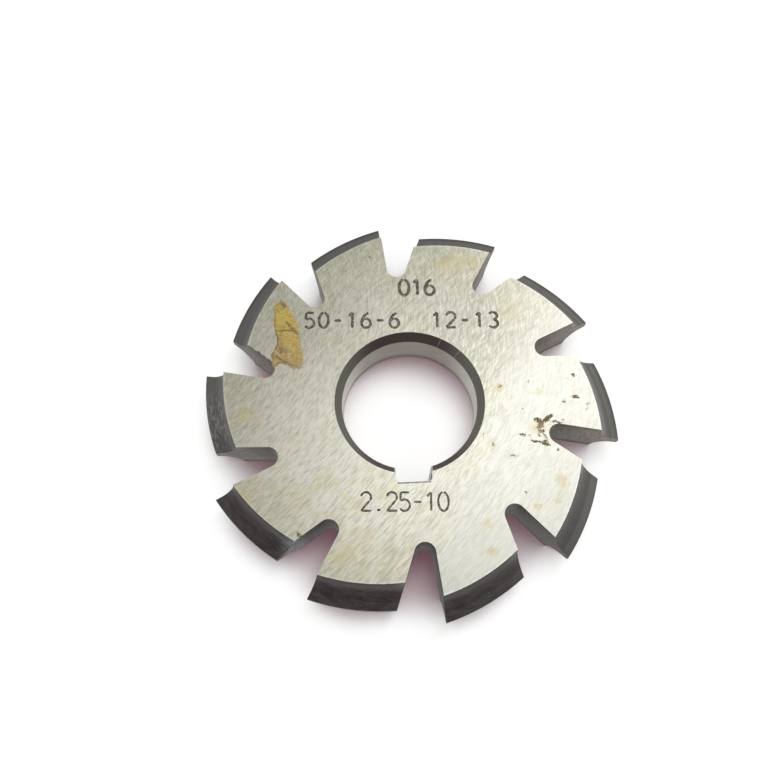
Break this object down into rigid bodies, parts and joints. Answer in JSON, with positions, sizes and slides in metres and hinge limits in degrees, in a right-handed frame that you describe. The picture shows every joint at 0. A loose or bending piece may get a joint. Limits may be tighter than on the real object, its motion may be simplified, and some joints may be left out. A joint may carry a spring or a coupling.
{
  "type": "involute gear cutter",
  "caption": "Disc-shaped milling cutter with relieved involute-form teeth, radial rake faces, deep V gashes, and a chamfered keyed bore for an arbor.",
  "frame": {"origin": "on the bore axis, in the plane of the lower side face", "axes": "+Z along the bore axis and out of the upper side face, -Y from the bore axis through the middle of the keyway"},
  "size_m": [0.049, 0.0496, 0.006],
  "materials": {
    "hardened_steel": "ground side faces with fine cross scratches, dark oxidised relieved flanks and gashes",
    "dry_residue": "dull, dried and flaking"
  },
  "bodies": {
    "root": {"gear_cutter": "hardened_steel"}
  },
  "joints": []
}
